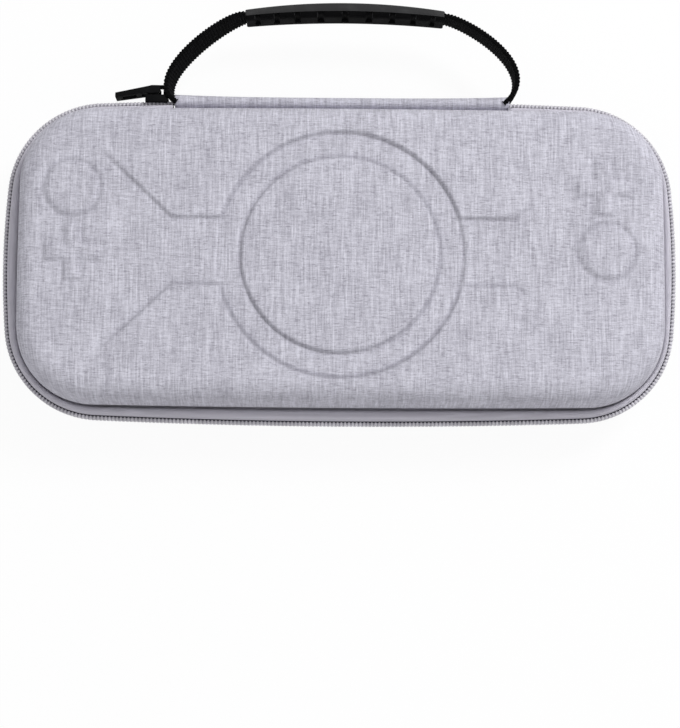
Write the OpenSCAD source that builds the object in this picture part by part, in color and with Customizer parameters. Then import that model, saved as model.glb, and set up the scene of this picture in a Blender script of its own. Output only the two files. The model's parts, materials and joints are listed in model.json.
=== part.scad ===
// Hard zip case for a portable game console.
// It lies on its back cover. X runs along the case, Y towards the handle, Z out of the front face.
// Every piece is drawn about the middle of the outline with the zip line at z = 0, and placed at the end.

/* [Outline] */
// Length of the case over the zip teeth
case_l = 300; // [280:1:330]
// Width of the case over the zip teeth, without the handle
case_w = 147; // [135:1:165]
// Radius of the four corners, at the zip teeth
corner_r = 45.5; // [40:0.5:52]
// How far the two short sides bow outwards
side_bow = 2; // [1:0.5:4]

/* [Shells] */
// Height of the front face above the zip line
lid_h = 26; // [23:1:32]
// Depth of the two grip zones below the zip line
back_h = 28; // [25:1:34]
// How far the middle panel of the back is set in from the grip zones
panel_set_in = 8; // [4:0.5:10]
// Half the length of that middle panel
panel_half_l = 96; // [85:1:100]
// Radius where each grip zone steps down to the middle panel
step_r = 6; // [3:0.5:7]
// Radius between a wall and the face
edge_r = 10; // [7:0.5:11]
// Lean of the walls, in degrees
wall_lean = 8; // [4:0.5:12]
// Thickness of the moulded sheet
shell_t = 3.5; // [2.8:0.1:4.2]
// Distance from the zip teeth in to the crease at the foot of each wall
crease_in = 6.3; // [5:0.1:8]
// Height of that crease above and below the zip line
crease_h = 8; // [7:0.5:9.5]

/* [Face relief] */
// Radius of the raised middle disc
disc_r = 44; // [38:1:46]
// Width of the channel round the disc
channel_w = 11; // [8:0.5:12]
// Depth of the channel
channel_d = 1.4; // [0.8:0.1:1.6]
// Depth of the two hourglass fields beside the channel
field_d = 0.7; // [0.4:0.1:0.9]
// Half the width of the hourglass where it meets the channel
waist_half_w = 15.3; // [12:0.1:20]
// Distance from the middle to the bend of the hourglass
waist_l = 76; // [70:1:84]
// Distance from the middle to the buttons
button_x = 119; // [114:0.5:120]
// Distance from the middle line to the upper button of each side
button_y = 30; // [28:0.5:34]
// Radius of the round buttons
button_r = 12; // [9:0.5:13]
// Span of the cross buttons
cross_span = 23; // [18:0.5:26]
// Width of a cross arm
cross_arm_w = 7; // [5:0.5:8]
// Height of the buttons above the field
button_h = 1.1; // [0.6:0.1:1.8]

/* [Zip] */
// Thickness of the zip tapes
tape_t = 1.2; // [0.8:0.1:1.5]
// Radius of the bulge of the tapes
tape_bulge_r = 9; // [8.6:0.1:11]
// Pitch of the zip teeth
tooth_pitch = 3.36; // [2.8:0.04:4.2]
// How far the teeth stand out of the tape
tooth_out = 2; // [1.4:0.1:2.2]
// Depth of the gaps between the teeth
tooth_gap_d = 1.1; // [0.6:0.1:1.2]
// Height of each row of teeth
tooth_h = 2.2; // [1.6:0.1:2.6]
// Half the gap between the two rows of teeth
zip_gap = 0.2; // [0.15:0.05:0.4]

/* [Seams] */
// Thickness of the binding on the inner seams
binding_t = 1.2; // [0.8:0.1:1.4]
// Height of the binding on the inner wall
binding_h = 3.5; // [2.5:0.5:4]

/* [Hinge strip] */
// Half the length of the cloth hinge strip
strip_half_l = 75.2; // [65:0.2:85]
// Thickness of the hinge strip
strip_t = 1.2; // [0.9:0.1:1.3]
// How far the crest of the strip lies behind the teeth
strip_crest_in = 1.2; // [1.1:0.1:2]
// Clearance between the strip and what it is sewn to
seam_clear = 0.3; // [0.2:0.05:0.5]

/* [Handle] */
// Height of the top of the handle above the zip teeth
handle_rise = 45; // [40:0.2:50]
// Width of the webbing
web_w = 12; // [10:0.5:12.5]
// Thickness of the webbing
web_t = 2; // [1.4:0.1:2.4]
// Distance from the middle to a foot of the webbing
foot_x = 75.4; // [72:0.2:75.6]
// Half the length of the grip
grip_half_l = 44.6; // [38:0.2:46]
// Thickness of the grip
grip_t = 7.4; // [7:0.2:10]
// Width of the grip
grip_w = 14.4; // [14.4:0.4:20]
// Radius that the grip bends to
grip_bend_r = 255; // [200:1:320]
// Number of finger grooves
groove_count = 9; // [5:1:10]
// Pitch of the finger grooves
groove_pitch = 9.8; // [8:0.1:9.8]
// Depth of the finger grooves
groove_d = 1.1; // [0.6:0.1:1.3]
// Clearance of the webbing in the grip
grip_clear = 0.2; // [0.1:0.05:0.3]

/* [Slider and puller] */
// Distance from the middle of the case to the parked slider
slider_x = 83; // [83:0.2:86]
// Length of the slider
slider_l = 10; // [8:0.2:10]
// Width of the slider over its flanges
slider_w = 9; // [8.8:0.1:10]
// Thickness of the slider's plates
slider_t = 1.5; // [1:0.1:1.6]
// Running clearance round the teeth
slider_clear = 0.35; // [0.25:0.05:0.45]
// Width of the post between the two plates
post_w = 1.6; // [1:0.1:2]
// Length of the post
post_l = 4; // [3:0.2:5]
// Height of the bridge that holds the puller
bridge_h = 5.2; // [4.8:0.1:5.6]
// Width of the bridge
bridge_w = 2.6; // [2:0.1:3]
// Length of the puller
puller_l = 18.6; // [17:0.2:20]
// Width of the puller
puller_w = 8; // [7.6:0.2:8.4]
// Thickness of the puller at its pin
puller_t = 3.6; // [2.8:0.1:3.8]
// Radius of the puller's pin
pin_r = 0.7; // [0.5:0.05:0.8]
// Thickness of the puller at its free end
puller_tip_t = 2; // [1.4:0.1:2.4]

/* [Console bay] */
// Width of the two holding straps
strap_w = 26; // [20:1:34]
// Thickness of the straps
strap_t = 1.2; // [0.8:0.1:1.5]
// Half the overlap of the straps, which is half the height of the hook and loop pads
strap_lap = 15; // [10:1:20]
// Thickness of each hook or loop pad
pad_t = 1; // [0.6:0.1:1.2]

/* [Lid pocket and divider] */
// Thickness of the mesh
mesh_t = 0.8; // [0.5:0.1:1]
// Distance from the middle line to the mouth of the mesh pocket
mouth_y = 24; // [10:1:34]
// Width of the elastic along the mouth
elastic_w = 7; // [5:0.5:9]
// Thickness of each layer of the elastic
elastic_t = 0.7; // [0.5:0.1:0.8]
// Distance of the divider's edge from the zip teeth
divider_in = 14; // [13.2:0.2:18]
// Thickness of the padded divider
divider_t = 4.4; // [3:0.2:4.6]
// Height of the divider's underside above the zip line
divider_z = 1; // [0.9:0.1:1.2]
// Thickness of the divider's edging tape
edging_t = 0.8; // [0.5:0.1:0.8]
// How far the edging tape folds over the divider's faces
edging_w = 4; // [3:0.5:6]
// Number of card pockets in each row
card_count = 5; // [3:1:6]
// Width of a card pocket
card_w = 30; // [26:1:30]
// Height of a row of card pockets
card_h = 34; // [28:1:38]
// Thickness of a row of card pockets
card_t = 1.6; // [1.2:0.1:1.8]

/* [Hidden] */
$fn = 64;
big = 400;
lap = 1;
cloth_c = [0.72, 0.71, 0.76];
tape_c = [0.74, 0.73, 0.78];
teeth_c = [0.62, 0.61, 0.67];
lining_c = [0.34, 0.34, 0.37];
black_c = [0.10, 0.10, 0.11];

// Outline: straight long sides, bowed short sides, tangent round corners
half_l = case_l / 2;
half_w = case_w / 2;
corner_x = half_l - side_bow - corner_r;
corner_y = half_w - corner_r;
side_r = corner_r + (corner_y * corner_y + side_bow * side_bow) / (2 * side_bow);
side_a = atan2(corner_y, side_r - corner_r - side_bow);

// Row frame: the grip zones stand on z = 0, and the origin is under the middle of the whole box
mid_y = handle_rise / 2;
panel_h = back_h - panel_set_in;

// One rounded edge between a wall and a face, as an outline in (distance out of the teeth line, height)
function wall_x(z, inset = 0) = -crease_in - inset / cos(wall_lean) - (z - crease_h) * tan(wall_lean);
function edge_arc(top_z, r, inset) =
    let(arc_z = top_z - r, arc_x = wall_x(arc_z, inset) - r / cos(wall_lean), steps = 7)
    [for (k = [0:steps]) let(a = wall_lean + (90 - wall_lean) * k / steps)
        [arc_x + r * cos(a), arc_z + r * sin(a)]];
function edge_outline(reach, foot_z, top_z, r, inset = 0) = concat(
    [[-reach, foot_z], [wall_x(foot_z, inset), foot_z]], edge_arc(top_z, r, inset), [[-reach, top_z]]
);

// Sweeps a profile round the whole outline. Neighbouring stretches are cut on one shared plane, the ray
// from a corner's centre through the point where its arc meets the bowed side
ray_end = [corner_x + half_w * cos(side_a), corner_y + half_w * sin(side_a)];
module corners() {
    for (mx = [0, 1], my = [0, 1])
        mirror([mx, 0, 0])
            mirror([0, my, 0])
                intersection() {
                    translate([corner_x, corner_y, 0])
                        rotate_extrude(angle = 94 - side_a, start = side_a - 2)
                            translate([corner_r, 0])
                                children();
                    linear_extrude(big, center = true)
                        polygon([[corner_x, corner_y], ray_end, [ray_end.x, case_w], [corner_x, case_w]]);
                }
}
module short_sides() {
    for (mx = [0, 1])
        mirror([mx, 0, 0])
            intersection() {
                translate([half_l - side_r, 0, 0])
                    rotate_extrude(angle = 2 * side_a + 4, start = -side_a - 2)
                        translate([side_r, 0])
                            children();
                linear_extrude(big, center = true)
                    polygon([
                        [corner_x, corner_y], ray_end, [ray_end.x, -ray_end.y], [corner_x, -corner_y]
                    ]);
            }
}
module long_side() {
    translate([-corner_x, half_w, 0])
        rotate([90, 0, 90])
            linear_extrude(2 * corner_x)
                children();
}
module long_sides() {
    long_side()
        children();
    mirror([0, 1, 0])
        long_side()
            children();
}
module ring() {
    corners()
        children();
    short_sides()
        children();
    long_sides()
        children();
}

// A solid tray form whose edge is a rounded wall, from foot_z up to top_z
module tray(foot_z, top_z, r, inset = 0) {
    inner = corner_r + side_bow + lap;
    corners()
        polygon(edge_outline(corner_r, foot_z, top_z, r, inset));
    short_sides()
        polygon(edge_outline(inner, foot_z, top_z, r, inset));
    long_sides()
        polygon(edge_outline(inner, foot_z, top_z, r, inset));
    translate([-corner_x, -corner_y, foot_z])
        cube([2 * corner_x, 2 * corner_y, top_z - foot_z]);
}

// A flat sheet that follows the outline at a distance inside the teeth line
module sheet(edge_in, z, t) {
    inner = corner_r + side_bow + lap;
    corners()
        translate([-corner_r, z])
            square([corner_r - edge_in, t]);
    short_sides()
        translate([-inner, z])
            square([inner - edge_in, t]);
    long_sides()
        translate([-inner, z])
            square([inner - edge_in, t]);
    translate([-corner_x, -corner_y, z])
        cube([2 * corner_x, 2 * corner_y, t]);
}

// Front shell with its pressed relief
module round_button() {
    rotate_extrude()
        polygon([
            [0, -field_d], [button_r, -field_d], [button_r - button_h, button_h - field_d],
            [0, button_h - field_d + 0.3]
        ]);
}
module cross_arm() {
    rotate([90, 0, 90])
        linear_extrude(cross_span, center = true)
            polygon([
                [-cross_arm_w / 2, -field_d], [cross_arm_w / 2, -field_d],
                [cross_arm_w / 2 - button_h, button_h - field_d],
                [button_h - cross_arm_w / 2, button_h - field_d]
            ]);
}
module cross_button() {
    cross_arm();
    rotate([0, 0, 90])
        cross_arm();
}
module channel() {
    outer = disc_r + channel_w;
    rotate_extrude()
        polygon([
            [disc_r - channel_d, 0.5], [disc_r - channel_d, 0], [disc_r, -channel_d],
            [outer, -channel_d], [outer + channel_d, 0], [outer + channel_d, 0.5]
        ]);
}
module hourglass_field() {
    flare = half_w - waist_half_w;
    linear_extrude(field_d + 1)
        polygon([
            [0, -waist_half_w], [waist_l, -waist_half_w], [waist_l + flare, -half_w], [half_l, -half_w],
            [half_l, half_w], [waist_l + flare, half_w], [waist_l, waist_half_w], [0, waist_half_w]
        ]);
}
module front_shell() {
    color(cloth_c)
        place() {
            difference() {
                tray(crease_h, lid_h, edge_r);
                tray(crease_h - lap, lid_h - shell_t, edge_r - shell_t, shell_t);
                translate([0, 0, lid_h])
                    channel();
                for (mx = [0, 1])
                    mirror([mx, 0, 0])
                        difference() {
                            translate([0, 0, lid_h - field_d])
                                hourglass_field();
                            cylinder(r = disc_r, h = big, center = true);
                        }
            }
            for (s = [-1, 1]) {
                translate([s * button_x, s < 0 ? button_y : 0, lid_h])
                    round_button();
                translate([s * button_x, s < 0 ? 0 : button_y, lid_h])
                    cross_button();
            }
        }
}

// Back shell: a deep tray with its middle panel set in, so that a grip zone is left at each end
function run_past(points) = let(n = len(points) - 1) points[n] + 0.3 * (points[n] - points[n - 1]);
function mirrored(points) = [for (k = [len(points) - 1:-1:0]) [-points[k].x, points[k].y]];
module panel_cut(inset) {
    from_x = panel_half_l + inset;
    r = max(step_r - inset, 1);
    step_arc = [for (k = [0:5]) let(a = 90 * k / 5) [from_x + r - r * cos(a), back_h - inset - r + r * sin(a)]];
    step = concat([[from_x, 0]], step_arc, [run_past(step_arc)]);
    face_arc = [for (p = edge_arc(panel_h - inset, edge_r - 1 - inset, inset)) [half_w + p.x, p.y]];
    face = concat(face_arc, mirrored(face_arc));
    face_end = run_past(face);
    intersection() {
        rotate([90, 0, 0])
            linear_extrude(big, center = true)
                polygon(concat(step, mirrored(step)));
        rotate([90, 0, 90])
            linear_extrude(big, center = true)
                polygon(concat(
                    [[-face_end.x, face_end.y]], face,
                    [face_end, [-big, face_end.y], [-big, big], [big, big], [big, face_end.y]]
                ));
    }
}
module back_form(inset, foot_z) {
    difference() {
        tray(foot_z, back_h - inset, edge_r - inset, inset);
        panel_cut(inset);
    }
}
module back_shell() {
    color(cloth_c)
        place()
            mirror([0, 0, 1])
                difference() {
                    back_form(0, crease_h);
                    back_form(shell_t, crease_h - lap);
                }
}

// Zip tapes: each bulges from the crease out to the teeth
bulge_x = -tooth_out - tape_bulge_r;
crease_a = asin((crease_h - zip_gap) / tape_bulge_r);
margin_x = wall_x(crease_h, shell_t);
tape_in_r = tape_bulge_r - tape_t;
margin_a = asin((crease_h - tape_t - zip_gap) / tape_in_r);
module tape_profile() {
    steps = 6;
    polygon(concat(
        [for (k = [0:steps]) let(a = crease_a * k / steps)
            [bulge_x + tape_bulge_r * cos(a), zip_gap + tape_bulge_r * sin(a)]],
        [[margin_x, crease_h], [margin_x, crease_h - tape_t]],
        [for (k = [0:steps]) let(a = margin_a * (1 - k / steps))
            [bulge_x + tape_in_r * cos(a), zip_gap + tape_in_r * sin(a)]]
    ));
}
module strip_space() {
    translate([-strip_half_l - seam_clear, corner_y, -big / 2])
        cube([2 * (strip_half_l + seam_clear), big, big]);
}
module post_space() {
    translate([
        -slider_x - post_l / 2 - slider_clear, half_w - big / 2, -post_w / 2 - slider_clear
    ])
        cube([post_l + 2 * slider_clear, big, post_w + 2 * slider_clear]);
}
module zip_tape() {
    difference() {
        ring()
            tape_profile();
        strip_space();
        post_space();
    }
}
module front_zip_tape() {
    color(tape_c)
        place()
            zip_tape();
}
module back_zip_tape() {
    color(tape_c)
        place()
            mirror([0, 0, 1])
                zip_tape();
}

// Zip teeth: one comb that follows the outline, made from points at even steps along it
// Lengths along a quarter of the outline: half a short side, a corner, then half a long side
side_len = side_r * side_a * PI / 180;
corner_len = corner_r * (90 - side_a) * PI / 180;
quarter_len = side_len + corner_len + corner_x;
function quarter_at(s, out) =
    s < side_len ? let(a = side_a * s / side_len)
        [half_l - side_r + (side_r + out) * cos(a), (side_r + out) * sin(a)]
    : s < side_len + corner_len ? let(a = side_a + (90 - side_a) * (s - side_len) / corner_len)
        [corner_x + (corner_r + out) * cos(a), corner_y + (corner_r + out) * sin(a)]
    : [corner_x - (s - side_len - corner_len), half_w + out];
// A point at length s round the outline from the middle of the right side, at a distance out of it
function round_at(s, out) =
    let(turn = 4 * quarter_len, u = s % turn, q = floor(u / quarter_len), v = u - q * quarter_len)
    q == 0 ? quarter_at(v, out)
    : q == 1 ? let(p = quarter_at(quarter_len - v, out)) [-p.x, p.y]
    : q == 2 ? let(p = quarter_at(v, out)) [-p.x, -p.y]
    : let(p = quarter_at(quarter_len - v, out)) [p.x, -p.y];
zip_len = 4 * quarter_len - 2 * (strip_half_l + seam_clear);
module teeth() {
    tooth = [[0.06, -tooth_gap_d], [0.26, 0], [0.68, 0], [0.88, -tooth_gap_d]];
    start = quarter_len + strip_half_l + seam_clear;
    count = floor(zip_len / tooth_pitch);
    step = zip_len / count;
    difference() {
        translate([0, 0, zip_gap])
            linear_extrude(tooth_h)
                polygon(concat(
                    [for (k = [0:count - 1], c = tooth) round_at(start + (k + c[0]) * step, c[1])],
                    [for (k = [count * 2:-1:0]) round_at(start + (k / 2) * step, -tooth_out)]
                ));
        post_space();
    }
}
module front_zip_teeth() {
    color(teeth_c)
        place()
            teeth();
}
module back_zip_teeth() {
    color(teeth_c)
        place()
            mirror([0, 0, 1])
                teeth();
}

// Binding that covers the sewn margin inside each shell
binding_z = crease_h + binding_h;
binding_fold = 2;
module binding() {
    under = crease_h - strip_t - 2 * seam_clear;
    ring()
        polygon([
            [wall_x(crease_h, shell_t), crease_h],
            [wall_x(binding_z, shell_t), binding_z],
            [wall_x(binding_z, shell_t) - binding_t, binding_z],
            [wall_x(binding_z, shell_t) - binding_t, under - binding_t],
            [margin_x + binding_fold, under - binding_t],
            [margin_x + binding_fold, under],
            [margin_x, under]
        ]);
}
module front_binding() {
    color(lining_c)
        place()
            binding();
}
module back_binding() {
    color(lining_c)
        place()
            mirror([0, 0, 1])
                binding();
}

// Cloth hinge strip between the two creases
strip_h = crease_h - seam_clear;
strip_sag = crease_in - strip_crest_in;
strip_r = (strip_h * strip_h + strip_sag * strip_sag) / (2 * strip_sag);
strip_a = atan2(strip_h, strip_r - strip_sag);
module hinge_strip() {
    steps = 12;
    inner_r = strip_r - strip_t;
    mid_x = -strip_crest_in - strip_r;
    inner_a = asin((strip_h - strip_t) / inner_r);
    margin_end = margin_x + seam_clear;
    color(cloth_c)
        place()
            translate([-strip_half_l, half_w, 0])
                rotate([90, 0, 90])
                    linear_extrude(2 * strip_half_l)
                        polygon(concat(
                            [for (k = [0:steps]) let(a = strip_a * (1 - 2 * k / steps))
                                [mid_x + strip_r * cos(a), strip_r * sin(a)]],
                            [[margin_end, -strip_h], [margin_end, strip_t - strip_h]],
                            [for (k = [0:steps]) let(a = inner_a * (2 * k / steps - 1))
                                [mid_x + inner_r * cos(a), inner_r * sin(a)]],
                            [[margin_end, strip_h - strip_t], [margin_end, strip_h]]
                        ));
}

// Handle: one length of webbing sewn in at both feet, run through a moulded grip
grip_a = asin(grip_half_l / grip_bend_r);
grip_mid_y = handle_rise - grip_t / 2;
bend_y = half_w + grip_mid_y - grip_bend_r;
function bezier(p, t) =
    pow(1 - t, 3) * p[0] + 3 * t * pow(1 - t, 2) * p[1] + 3 * t * t * (1 - t) * p[2] + t * t * t * p[3];
function bezier_way(p, t) =
    pow(1 - t, 2) * (p[1] - p[0]) + 2 * t * (1 - t) * (p[2] - p[1]) + t * t * (p[3] - p[2]);
web_end = [grip_bend_r * sin(grip_a), bend_y + grip_bend_r * cos(grip_a)];
web_curve = [
    web_end,
    web_end + 18 * [cos(grip_a), -sin(grip_a)],
    [foot_x + 8, half_w + 18],
    [foot_x, half_w + seam_clear]
];
function web_side(out) = concat(
    [for (k = [0:4]) let(a = grip_a * k / 5)
        [(grip_bend_r + out) * sin(a), bend_y + (grip_bend_r + out) * cos(a)]],
    [for (k = [0:16]) let(t = k / 16, w = k < 16 ? bezier_way(web_curve, t) : [0, -1])
        bezier(web_curve, t) + out * [-w.y, w.x] / norm(w)]
);
function left_of(points) = [for (k = [len(points) - 1:-1:1]) [-points[k].x, points[k].y]];
function back_to_front(points) = [for (k = [len(points) - 1:-1:0]) points[k]];
module handle_webbing() {
    over = web_side(web_t / 2);
    under = web_side(-web_t / 2);
    color(black_c)
        place()
            linear_extrude(web_w, center = true)
                polygon(concat(left_of(over), over, back_to_front(under), back_to_front(left_of(under))));
}
module grip_section() {
    cut = 2;
    difference() {
        polygon([
            [-grip_t / 2, cut - grip_w / 2], [cut - grip_t / 2, -grip_w / 2],
            [grip_t / 2 - cut, -grip_w / 2], [grip_t / 2, cut - grip_w / 2],
            [grip_t / 2, grip_w / 2 - cut], [grip_t / 2 - cut, grip_w / 2],
            [cut - grip_t / 2, grip_w / 2], [-grip_t / 2, grip_w / 2 - cut]
        ]);
        square([web_t + 2 * grip_clear, web_w + 2 * grip_clear], center = true);
    }
}
module handle_grip() {
    groove_r = 4.5;
    groove_a = groove_pitch / grip_bend_r * 180 / PI;
    color(black_c)
        place()
            translate([0, bend_y, 0])
                difference() {
                    rotate_extrude(angle = 2 * grip_a, start = 90 - grip_a, $fn = 720)
                        translate([grip_bend_r, 0])
                            grip_section();
                    for (k = [0:groove_count - 1])
                        rotate([0, 0, (k - (groove_count - 1) / 2) * groove_a])
                            translate([0, grip_bend_r - grip_t / 2 - groove_r + groove_d, 0])
                                cylinder(r = groove_r, h = big, center = true);
                }
}

// Slider: an outer plate with flanges round the teeth, a post between the rows and an inner plate
plate_y = half_w + slider_clear;
inner_plate_y = half_w - tooth_out - tape_t - slider_clear;
bridge_top = plate_y + slider_t + bridge_h;
pin_y = bridge_top - slider_t - slider_clear - pin_r;
bridge_in = 0.6;
bridge_sink = 0.2;
inner_plate_w = 4.4;
module zip_slider() {
    flange_z = zip_gap + tooth_h + slider_clear;
    flange_t = slider_w / 2 - flange_z;
    flange_y = half_w - tooth_out + slider_clear;
    color(black_c)
        place()
            translate([-slider_x - slider_l / 2, 0, 0]) {
                translate([0, plate_y, -slider_w / 2])
                    cube([slider_l, slider_t, slider_w]);
                for (s = [-1, 1])
                    translate([0, flange_y, s * (flange_z + flange_t / 2) - flange_t / 2])
                        cube([slider_l, plate_y - flange_y + lap, flange_t]);
                translate([(slider_l - post_l) / 2, inner_plate_y - slider_t / 2, -post_w / 2])
                    cube([post_l, plate_y - inner_plate_y + slider_t, post_w]);
                translate([0, inner_plate_y - slider_t, -inner_plate_w / 2])
                    cube([slider_l, slider_t, inner_plate_w]);
                translate([bridge_in, plate_y + slider_t - bridge_sink, 0])
                    bridge();
            }
}
// The bridge is a low arch along the slider, open under its top for the puller's pin
module bridge() {
    length = slider_l - 2 * bridge_in;
    top = bridge_h + bridge_sink;
    slope = 1.4;
    translate([0, 0, -bridge_w / 2])
        difference() {
            linear_extrude(bridge_w)
                polygon([
                    [0, 0], [length, 0], [length, top - slope], [length - slope, top],
                    [slope, top], [0, top - slope]
                ]);
            translate([slider_t, -lap, -lap])
                cube([length - 2 * slider_t, top - slider_t + lap, bridge_w + 2 * lap]);
        }
}
// Puller: a moulded tab with a window, two ears and a pin under the bridge
module zip_puller() {
    ear_gap = bridge_w / 2 + slider_clear;
    tip_y = half_w + 2 * slider_clear - pin_y;
    nose = 1.6;
    window_l = puller_l / 3;
    color(black_c)
        place()
            translate([-slider_x, pin_y, 0]) {
                difference() {
                    translate([0, 0, -puller_w / 2])
                        linear_extrude(puller_w)
                            polygon([
                                [nose, 1 - puller_t / 2], [nose / 2, -puller_t / 2],
                                [-slider_l / 2, -puller_t / 2],
                                [-puller_l, tip_y], [-puller_l, tip_y + puller_tip_t],
                                [-2, puller_t / 2], [nose / 2, puller_t / 2], [nose, puller_t / 2 - 1]
                            ]);
                    translate([-slider_l / 2 - 2, -big / 2, -ear_gap])
                        cube([slider_l + 4, big, 2 * ear_gap]);
                    translate([3 - puller_l, -big / 2, -puller_w / 4])
                        cube([window_l, big, puller_w / 2]);
                }
                cylinder(r = pin_r, h = 2 * ear_gap + lap, center = true);
            }
}

// Holding straps: sewn at the long walls and closed by hook and loop pads in the middle of the bay
bay_z = shell_t - panel_h;
strap_end = half_w + wall_x(panel_h - edge_r + 1, shell_t) - (edge_r - 1 - shell_t) - 0.5;
module strap_side(points) {
    rotate([90, 0, 90])
        linear_extrude(strap_w, center = true)
            polygon(points);
}
module lower_strap() {
    color(lining_c)
        place()
            strap_side([
                [-strap_end, bay_z], [strap_lap, bay_z],
                [strap_lap, bay_z + strap_t], [-strap_end, bay_z + strap_t]
            ]);
}
module upper_strap() {
    over_z = bay_z + strap_t + 2 * pad_t;
    ramp = 8;
    color(lining_c)
        place()
            strap_side([
                [-strap_lap, over_z], [strap_lap + 1, over_z], [strap_lap + 1 + ramp, bay_z],
                [strap_end, bay_z], [strap_end, bay_z + strap_t], [strap_lap + 2 + ramp, bay_z + strap_t],
                [strap_lap + 2, over_z + strap_t], [-strap_lap, over_z + strap_t]
            ]);
}
module strap_pad(layer) {
    translate([0, 0, bay_z + strap_t + (layer + 0.5) * pad_t])
        cube([strap_w - 4, 2 * strap_lap, pad_t], center = true);
}
module loop_pad() {
    color(black_c)
        place()
            strap_pad(0);
}
module hook_pad() {
    color(black_c)
        place()
            strap_pad(1);
}

// Mesh pocket inside the lid, open towards the hinge
mesh_in = -wall_x(binding_z, shell_t) + 0.3;
module mesh_pocket() {
    color(lining_c)
        place()
            difference() {
                sheet(mesh_in, binding_z, mesh_t);
                translate([-big / 2, mouth_y, -big / 2])
                    cube([big, big, big]);
            }
}
module pocket_elastic() {
    length = 2 * (half_l - mesh_in - 3);
    back_y = mouth_y - elastic_w + elastic_t;
    color(black_c)
        place()
            translate([-length / 2, 0, binding_z])
                rotate([90, 0, 90])
                    linear_extrude(length)
                        polygon([
                            [back_y, -elastic_t], [mouth_y + elastic_t, -elastic_t],
                            [mouth_y + elastic_t, mesh_t + elastic_t], [back_y, mesh_t + elastic_t],
                            [back_y, mesh_t], [mouth_y, mesh_t], [mouth_y, 0], [back_y, 0]
                        ]);
}

// Padded divider sewn to the lid along the hinge side, with two rows of card pockets
divider_top = divider_z + divider_t;
module divider_board() {
    color(lining_c)
        place()
            sheet(divider_in, divider_z, divider_t);
}
module divider_edging() {
    fold = divider_in + edging_w;
    color(black_c)
        place()
            ring()
                polygon([
                    [-fold, divider_z - edging_t], [edging_t - divider_in, divider_z - edging_t],
                    [edging_t - divider_in, divider_top + edging_t], [-fold, divider_top + edging_t],
                    [-fold, divider_top], [-divider_in, divider_top],
                    [-divider_in, divider_z], [-fold, divider_z]
                ]);
}
module divider_hinge_tape() {
    near = half_w + wall_x(binding_z, shell_t) - binding_t;
    far = half_w - divider_in - edging_w;
    color(lining_c)
        place()
            translate([-strip_half_l, far, divider_top + edging_t])
                cube([2 * strip_half_l, near - far, edging_t]);
}
module card_row() {
    length = card_count * card_w;
    groove = 0.6;
    difference() {
        translate([-length / 2, -card_h / 2, -card_t])
            cube([length, card_h, card_t]);
        for (k = [1:card_count - 1])
            translate([k * card_w - length / 2 - 0.5, -card_h / 2 - 1, -card_t - 1])
                cube([1, card_h + 2, 1 + groove]);
        for (k = [0:card_count - 1])
            translate([(k + 0.5) * card_w - length / 2, -card_h / 2, -card_t - 1])
                cylinder(r = card_w / 4, h = 1 + card_t / 2);
    }
}
module card_row_upper() {
    color(black_c)
        place()
            translate([0, card_h / 2 + 3, divider_z])
                card_row();
}
module card_row_lower() {
    color(black_c)
        place()
            translate([0, -card_h / 2 - 3, divider_z])
                card_row();
}

module place() {
    translate([0, -mid_y, back_h])
        children();
}

back_shell();
back_zip_tape();
back_zip_teeth();
back_binding();
upper_strap();
lower_strap();
hook_pad();
loop_pad();
front_shell();
front_zip_tape();
front_zip_teeth();
front_binding();
mesh_pocket();
pocket_elastic();
divider_board();
divider_edging();
divider_hinge_tape();
card_row_upper();
card_row_lower();
hinge_strip();
handle_webbing();
handle_grip();
zip_slider();
zip_puller();
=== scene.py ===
"""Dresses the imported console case: moulded cloth covers, coil zip, webbing handle and the inside.

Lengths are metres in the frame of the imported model: X runs along the case, Y towards the handle and
Z out of the front face.
"""
import json
import logging
import math
from dataclasses import dataclass, field
from enum import Enum
from typing import Callable, Sequence

import bmesh
import bpy
from mathutils import Matrix, Vector


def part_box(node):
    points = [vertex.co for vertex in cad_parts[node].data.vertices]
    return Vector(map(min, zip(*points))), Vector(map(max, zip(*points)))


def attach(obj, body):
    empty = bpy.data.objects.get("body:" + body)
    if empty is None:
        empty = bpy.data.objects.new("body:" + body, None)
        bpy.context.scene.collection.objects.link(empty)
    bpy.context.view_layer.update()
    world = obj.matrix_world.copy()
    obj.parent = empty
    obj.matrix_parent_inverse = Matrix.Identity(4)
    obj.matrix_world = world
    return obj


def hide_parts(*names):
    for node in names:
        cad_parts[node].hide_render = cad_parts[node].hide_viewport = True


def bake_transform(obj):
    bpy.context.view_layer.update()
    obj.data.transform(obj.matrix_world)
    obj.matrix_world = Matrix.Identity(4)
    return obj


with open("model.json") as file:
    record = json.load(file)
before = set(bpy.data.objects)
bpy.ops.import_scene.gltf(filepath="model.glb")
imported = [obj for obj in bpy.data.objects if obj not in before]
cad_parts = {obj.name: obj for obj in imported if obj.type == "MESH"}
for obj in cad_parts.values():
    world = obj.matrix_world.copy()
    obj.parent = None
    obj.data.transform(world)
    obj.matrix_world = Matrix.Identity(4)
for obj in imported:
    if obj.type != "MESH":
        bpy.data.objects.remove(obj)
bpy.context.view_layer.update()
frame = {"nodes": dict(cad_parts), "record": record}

log = logging.getLogger("case")
MM = 0.001
Colour = tuple[float, float, float]
Point2 = tuple[float, float]


class Body(Enum):
    """The bodies of the frame that a piece of its own rides on."""

    BACK = "back"
    LID = "lid"
    HANDLE = "handle"
    SLIDER = "slider"
    PULLER = "puller"


class Side(Enum):
    """The cover that a piece belongs to, as the sign of its height over the zip line."""

    FRONT = 1
    BACK = -1

    @property
    def body(self) -> Body:
        """The body that this cover is."""
        return Body.LID if self is Side.FRONT else Body.BACK

    @property
    def word(self) -> str:
        """The word that the names of this cover's pieces start with."""
        return "front" if self is Side.FRONT else "back"


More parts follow.
